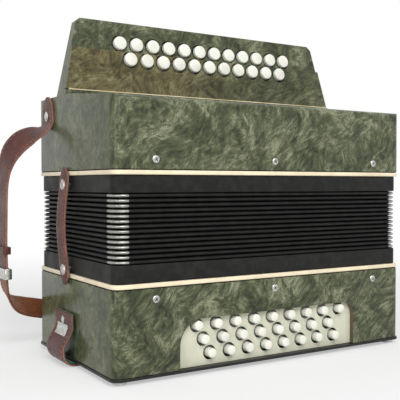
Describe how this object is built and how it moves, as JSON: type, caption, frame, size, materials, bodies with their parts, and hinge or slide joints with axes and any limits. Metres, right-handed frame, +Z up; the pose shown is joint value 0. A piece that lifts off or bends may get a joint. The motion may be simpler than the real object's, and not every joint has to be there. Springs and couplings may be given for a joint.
{
  "type": "button accordion",
  "caption": "Two-row diatonic button accordion with marbled cases, closed pleated bellows, raised fingerboard, bass button panel and leather straps.",
  "frame": {"origin": "middle of the plane that the four feet stand on, under the centre of the bass case", "axes": "+Z up from the bass end to the treble end, along the bellows' stroke; +X along the wide front face; -Y towards the listener, out of the bass button panel"},
  "size_m": [0.4008, 0.1907, 0.3141],
  "materials": {
    "celluloid": "polished marbled green-grey celluloid over wood",
    "celluloid_brown": "polished marbled olive celluloid over wood",
    "cream_panel": "satin cream plastic",
    "black_plate": "black lacquered plate",
    "wood": "planed spruce and birch",
    "steel": "bright steel",
    "leather": "waxed red-brown leather",
    "bellows_cloth": "black bookcloth over card",
    "button_white": "polished milk-white plastic"
  },
  "bodies": {
    "bass_side": {"bass_case": "celluloid", "bass_button_panel": "cream_panel", "bass_end_cover": "black_plate", "bass_reed_bank": "wood", "bass_action": "steel", "bass_hand_strap": "leather", "bellows_folds": "bellows_cloth"},
    "treble_side": {"treble_case": "celluloid", "treble_reed_bank": "wood", "fingerboard": "celluloid_brown"},
    "bellows_strap_body": {"bellows_strap": "leather"},
    "shoulder_strap_body": {"shoulder_strap": "leather"},
    "treble_key_01_lever": {"treble_key_01": "button_white"},
    "treble_key_02_lever": {"treble_key_02": "button_white"},
    "treble_key_03_lever": {"treble_key_03": "button_white"},
    "treble_key_04_lever": {"treble_key_04": "button_white"},
    "treble_key_05_lever": {"treble_key_05": "button_white"},
    "treble_key_06_lever": {"treble_key_06": "button_white"},
    "treble_key_07_lever": {"treble_key_07": "button_white"},
    "treble_key_08_lever": {"treble_key_08": "button_white"},
    "treble_key_09_lever": {"treble_key_09": "button_white"},
    "treble_key_10_lever": {"treble_key_10": "button_white"},
    "treble_key_11_lever": {"treble_key_11": "button_white"},
    "treble_key_12_lever": {"treble_key_12": "button_white"},
    "treble_key_13_lever": {"treble_key_13": "button_white"},
    "treble_key_14_lever": {"treble_key_14": "button_white"},
    "treble_key_15_lever": {"treble_key_15": "button_white"},
    "treble_key_16_lever": {"treble_key_16": "button_white"},
    "treble_key_17_lever": {"treble_key_17": "button_white"},
    "treble_key_18_lever": {"treble_key_18": "button_white"},
    "treble_key_19_lever": {"treble_key_19": "button_white"},
    "treble_key_20_lever": {"treble_key_20": "button_white"},
    "treble_key_21_lever": {"treble_key_21": "button_white"},
    "treble_key_22_lever": {"treble_key_22": "button_white"},
    "treble_key_23_lever": {"treble_key_23": "button_white"},
    "bass_button_01_stem": {"bass_button_01": "button_white"},
    "bass_button_02_stem": {"bass_button_02": "button_white"},
    "bass_button_03_stem": {"bass_button_03": "button_white"},
    "bass_button_04_stem": {"bass_button_04": "button_white"},
    "bass_button_05_stem": {"bass_button_05": "button_white"},
    "bass_button_06_stem": {"bass_button_06": "button_white"},
    "bass_button_07_stem": {"bass_button_07": "button_white"},
    "bass_button_08_stem": {"bass_button_08": "button_white"},
    "bass_button_09_stem": {"bass_button_09": "button_white"},
    "bass_button_10_stem": {"bass_button_10": "button_white"},
    "bass_button_11_stem": {"bass_button_11": "button_white"},
    "bass_button_12_stem": {"bass_button_12": "button_white"},
    "bass_button_13_stem": {"bass_button_13": "button_white"},
    "bass_button_14_stem": {"bass_button_14": "button_white"},
    "bass_button_15_stem": {"bass_button_15": "button_white"},
    "bass_button_16_stem": {"bass_button_16": "button_white"},
    "bass_button_17_stem": {"bass_button_17": "button_white"},
    "bass_button_18_stem": {"bass_button_18": "button_white"},
    "bass_button_19_stem": {"bass_button_19": "button_white"},
    "bass_button_20_stem": {"bass_button_20": "button_white"},
    "bass_button_21_stem": {"bass_button_21": "button_white"},
    "bass_button_22_stem": {"bass_button_22": "button_white"},
    "bass_button_23_stem": {"bass_button_23": "button_white"},
    "bass_button_24_stem": {"bass_button_24": "button_white"},
    "bass_button_25_stem": {"bass_button_25": "button_white"}
  },
  "joints": [
    {"name": "bellows_open", "type": "slide", "parent": "bass_side", "child": "treble_side", "axis": [0, 0, 1], "range_m": [0, 0.35], "deforming": ["bellows_folds"]},
    {"name": "bellows_strap_swing", "type": "hinge", "parent": "bass_side", "child": "bellows_strap_body", "pos_m": [-0.1587, 0.012, 0.0841], "axis": [1, 0, 0], "range_deg": [0, 95]},
    {"name": "shoulder_strap_swing", "type": "hinge", "parent": "treble_side", "child": "shoulder_strap_body", "pos_m": [0, 0.056, 0.22306], "axis": [1, 0, 0], "range_deg": [0, 110]},
    {"name": "key_treble_01", "type": "hinge", "parent": "treble_side", "child": "treble_key_01_lever", "pos_m": [0, 0.032, 0.23106], "axis": [-1, 0, 0], "range_deg": [0, 3.13], "stiffness_Nm_per_rad": 0.35, "springref_deg": -4.58},
    {"name": "key_treble_02", "type": "hinge", "parent": "treble_side", "child": "treble_key_02_lever", "pos_m": [0, 0.032, 0.23106], "axis": [-1, 0, 0], "range_deg": [0, 3.13], "stiffness_Nm_per_rad": 0.35, "springref_deg": -4.58},
    {"name": "key_treble_03", "type": "hinge", "parent": "treble_side", "child": "treble_key_03_lever", "pos_m": [0, 0.032, 0.23106], "axis": [-1, 0, 0], "range_deg": [0, 3.13], "stiffness_Nm_per_rad": 0.35, "springref_deg": -4.58},
    {"name": "key_treble_04", "type": "hinge", "parent": "treble_side", "child": "treble_key_04_lever", "pos_m": [0, 0.032, 0.23106], "axis": [-1, 0, 0], "range_deg": [0, 3.13], "stiffness_Nm_per_rad": 0.35, "springref_deg": -4.58},
    {"name": "key_treble_05", "type": "hinge", "parent": "treble_side", "child": "treble_key_05_lever", "pos_m": [0, 0.032, 0.23106], "axis": [-1, 0, 0], "range_deg": [0, 3.13], "stiffness_Nm_per_rad": 0.35, "springref_deg": -4.58},
    {"name": "key_treble_06", "type": "hinge", "parent": "treble_side", "child": "treble_key_06_lever", "pos_m": [0, 0.032, 0.23106], "axis": [-1, 0, 0], "range_deg": [0, 3.13], "stiffness_Nm_per_rad": 0.35, "springref_deg": -4.58},
    {"name": "key_treble_07", "type": "hinge", "parent": "treble_side", "child": "treble_key_07_lever", "pos_m": [0, 0.032, 0.23106], "axis": [-1, 0, 0], "range_deg": [0, 3.13], "stiffness_Nm_per_rad": 0.35, "springref_deg": -4.58},
    {"name": "key_treble_08", "type": "hinge", "parent": "treble_side", "child": "treble_key_08_lever", "pos_m": [0, 0.032, 0.23106], "axis": [-1, 0, 0], "range_deg": [0, 3.13], "stiffness_Nm_per_rad": 0.35, "springref_deg": -4.58},
    {"name": "key_treble_09", "type": "hinge", "parent": "treble_side", "child": "treble_key_09_lever", "pos_m": [0, 0.032, 0.23106], "axis": [-1, 0, 0], "range_deg": [0, 3.13], "stiffness_Nm_per_rad": 0.35, "springref_deg": -4.58},
    {"name": "key_treble_10", "type": "hinge", "parent": "treble_side", "child": "treble_key_10_lever", "pos_m": [0, 0.032, 0.23106], "axis": [-1, 0, 0], "range_deg": [0, 3.13], "stiffness_Nm_per_rad": 0.35, "springref_deg": -4.58},
    {"name": "key_treble_11", "type": "hinge", "parent": "treble_side", "child": "treble_key_11_lever", "pos_m": [0, 0.032, 0.23106], "axis": [-1, 0, 0], "range_deg": [0, 3.13], "stiffness_Nm_per_rad": 0.35, "springref_deg": -4.58},
    {"name": "key_treble_12", "type": "hinge", "parent": "treble_side", "child": "treble_key_12_lever", "pos_m": [0, 0.032, 0.23106], "axis": [-1, 0, 0], "range_deg": [0, 3.13], "stiffness_Nm_per_rad": 0.35, "springref_deg": -4.58},
    {"name": "key_treble_13", "type": "hinge", "parent": "treble_side", "child": "treble_key_13_lever", "pos_m": [0, 0.032, 0.23106], "axis": [-1, 0, 0], "range_deg": [0, 4.15], "stiffness_Nm_per_rad": 0.35, "springref_deg": -4.58},
    {"name": "key_treble_14", "type": "hinge", "parent": "treble_side", "child": "treble_key_14_lever", "pos_m": [0, 0.032, 0.23106], "axis": [-1, 0, 0], "range_deg": [0, 4.15], "stiffness_Nm_per_rad": 0.35, "springref_deg": -4.58},
    {"name": "key_treble_15", "type": "hinge", "parent": "treble_side", "child": "treble_key_15_lever", "pos_m": [0, 0.032, 0.23106], "axis": [-1, 0, 0], "range_deg": [0, 4.15], "stiffness_Nm_per_rad": 0.35, "springref_deg": -4.58},
    {"name": "key_treble_16", "type": "hinge", "parent": "treble_side", "child": "treble_key_16_lever", "pos_m": [0, 0.032, 0.23106], "axis": [-1, 0, 0], "range_deg": [0, 4.15], "stiffness_Nm_per_rad": 0.35, "springref_deg": -4.58},
    {"name": "key_treble_17", "type": "hinge", "parent": "treble_side", "child": "treble_key_17_lever", "pos_m": [0, 0.032, 0.23106], "axis": [-1, 0, 0], "range_deg": [0, 4.15], "stiffness_Nm_per_rad": 0.35, "springref_deg": -4.58},
    {"name": "key_treble_18", "type": "hinge", "parent": "treble_side", "child": "treble_key_18_lever", "pos_m": [0, 0.032, 0.23106], "axis": [-1, 0, 0], "range_deg": [0, 4.15], "stiffness_Nm_per_rad": 0.35, "springref_deg": -4.58},
    {"name": "key_treble_19", "type": "hinge", "parent": "treble_side", "child": "treble_key_19_lever", "pos_m": [0, 0.032, 0.23106], "axis": [-1, 0, 0], "range_deg": [0, 4.15], "stiffness_Nm_per_rad": 0.35, "springref_deg": -4.58},
    {"name": "key_treble_20", "type": "hinge", "parent": "treble_side", "child": "treble_key_20_lever", "pos_m": [0, 0.032, 0.23106], "axis": [-1, 0, 0], "range_deg": [0, 4.15], "stiffness_Nm_per_rad": 0.35, "springref_deg": -4.58},
    {"name": "key_treble_21", "type": "hinge", "parent": "treble_side", "child": "treble_key_21_lever", "pos_m": [0, 0.032, 0.23106], "axis": [-1, 0, 0], "range_deg": [0, 4.15], "stiffness_Nm_per_rad": 0.35, "springref_deg": -4.58},
    {"name": "key_treble_22", "type": "hinge", "parent": "treble_side", "child": "treble_key_22_lever", "pos_m": [0, 0.032, 0.23106], "axis": [-1, 0, 0], "range_deg": [0, 4.15], "stiffness_Nm_per_rad": 0.35, "springref_deg": -4.58},
    {"name": "key_treble_23", "type": "hinge", "parent": "treble_side", "child": "treble_key_23_lever", "pos_m": [0, 0.032, 0.23106], "axis": [-1, 0, 0], "range_deg": [0, 4.15], "stiffness_Nm_per_rad": 0.35, "springref_deg": -4.58},
    {"name": "press_bass_01", "type": "slide", "parent": "bass_side", "child": "bass_button_01_stem", "axis": [0, 1, 0], "range_m": [0, 0.004], "stiffness_N_per_m": 160, "springref_m": -0.003},
    {"name": "press_bass_02", "type": "slide", "parent": "bass_side", "child": "bass_button_02_stem", "axis": [0, 1, 0], "range_m": [0, 0.004], "stiffness_N_per_m": 160, "springref_m": -0.003},
    {"name": "press_bass_03", "type": "slide", "parent": "bass_side", "child": "bass_button_03_stem", "axis": [0, 1, 0], "range_m": [0, 0.004], "stiffness_N_per_m": 160, "springref_m": -0.003},
    {"name": "press_bass_04", "type": "slide", "parent": "bass_side", "child": "bass_button_04_stem", "axis": [0, 1, 0], "range_m": [0, 0.004], "stiffness_N_per_m": 160, "springref_m": -0.003},
    {"name": "press_bass_05", "type": "slide", "parent": "bass_side", "child": "bass_button_05_stem", "axis": [0, 1, 0], "range_m": [0, 0.004], "stiffness_N_per_m": 160, "springref_m": -0.003},
    {"name": "press_bass_06", "type": "slide", "parent": "bass_side", "child": "bass_button_06_stem", "axis": [0, 1, 0], "range_m": [0, 0.004], "stiffness_N_per_m": 160, "springref_m": -0.003},
    {"name": "press_bass_07", "type": "slide", "parent": "bass_side", "child": "bass_button_07_stem", "axis": [0, 1, 0], "range_m": [0, 0.004], "stiffness_N_per_m": 160, "springref_m": -0.003},
    {"name": "press_bass_08", "type": "slide", "parent": "bass_side", "child": "bass_button_08_stem", "axis": [0, 1, 0], "range_m": [0, 0.004], "stiffness_N_per_m": 160, "springref_m": -0.003},
    {"name": "press_bass_09", "type": "slide", "parent": "bass_side", "child": "bass_button_09_stem", "axis": [0, 1, 0], "range_m": [0, 0.004], "stiffness_N_per_m": 160, "springref_m": -0.003},
    {"name": "press_bass_10", "type": "slide", "parent": "bass_side", "child": "bass_button_10_stem", "axis": [0, 1, 0], "range_m": [0, 0.004], "stiffness_N_per_m": 160, "springref_m": -0.003},
    {"name": "press_bass_11", "type": "slide", "parent": "bass_side", "child": "bass_button_11_stem", "axis": [0, 1, 0], "range_m": [0, 0.004], "stiffness_N_per_m": 160, "springref_m": -0.003},
    {"name": "press_bass_12", "type": "slide", "parent": "bass_side", "child": "bass_button_12_stem", "axis": [0, 1, 0], "range_m": [0, 0.004], "stiffness_N_per_m": 160, "springref_m": -0.003},
    {"name": "press_bass_13", "type": "slide", "parent": "bass_side", "child": "bass_button_13_stem", "axis": [0, 1, 0], "range_m": [0, 0.004], "stiffness_N_per_m": 160, "springref_m": -0.003},
    {"name": "press_bass_14", "type": "slide", "parent": "bass_side", "child": "bass_button_14_stem", "axis": [0, 1, 0], "range_m": [0, 0.004], "stiffness_N_per_m": 160, "springref_m": -0.003},
    {"name": "press_bass_15", "type": "slide", "parent": "bass_side", "child": "bass_button_15_stem", "axis": [0, 1, 0], "range_m": [0, 0.004], "stiffness_N_per_m": 160, "springref_m": -0.003},
    {"name": "press_bass_16", "type": "slide", "parent": "bass_side", "child": "bass_button_16_stem", "axis": [0, 1, 0], "range_m": [0, 0.004], "stiffness_N_per_m": 160, "springref_m": -0.003},
    {"name": "press_bass_17", "type": "slide", "parent": "bass_side", "child": "bass_button_17_stem", "axis": [0, 1, 0], "range_m": [0, 0.004], "stiffness_N_per_m": 160, "springref_m": -0.003},
    {"name": "press_bass_18", "type": "slide", "parent": "bass_side", "child": "bass_button_18_stem", "axis": [0, 1, 0], "range_m": [0, 0.004], "stiffness_N_per_m": 160, "springref_m": -0.003},
    {"name": "press_bass_19", "type": "slide", "parent": "bass_side", "child": "bass_button_19_stem", "axis": [0, 1, 0], "range_m": [0, 0.004], "stiffness_N_per_m": 160, "springref_m": -0.003},
    {"name": "press_bass_20", "type": "slide", "parent": "bass_side", "child": "bass_button_20_stem", "axis": [0, 1, 0], "range_m": [0, 0.004], "stiffness_N_per_m": 160, "springref_m": -0.003},
    {"name": "press_bass_21", "type": "slide", "parent": "bass_side", "child": "bass_button_21_stem", "axis": [0, 1, 0], "range_m": [0, 0.004], "stiffness_N_per_m": 160, "springref_m": -0.003},
    {"name": "press_bass_22", "type": "slide", "parent": "bass_side", "child": "bass_button_22_stem", "axis": [0, 1, 0], "range_m": [0, 0.004], "stiffness_N_per_m": 160, "springref_m": -0.003},
    {"name": "press_bass_23", "type": "slide", "parent": "bass_side", "child": "bass_button_23_stem", "axis": [0, 1, 0], "range_m": [0, 0.004], "stiffness_N_per_m": 160, "springref_m": -0.003},
    {"name": "press_bass_24", "type": "slide", "parent": "bass_side", "child": "bass_button_24_stem", "axis": [0, 1, 0], "range_m": [0, 0.004], "stiffness_N_per_m": 160, "springref_m": -0.003},
    {"name": "press_bass_25", "type": "slide", "parent": "bass_side", "child": "bass_button_25_stem", "axis": [0, 1, 0], "range_m": [0, 0.004], "stiffness_N_per_m": 160, "springref_m": -0.003}
  ]
}
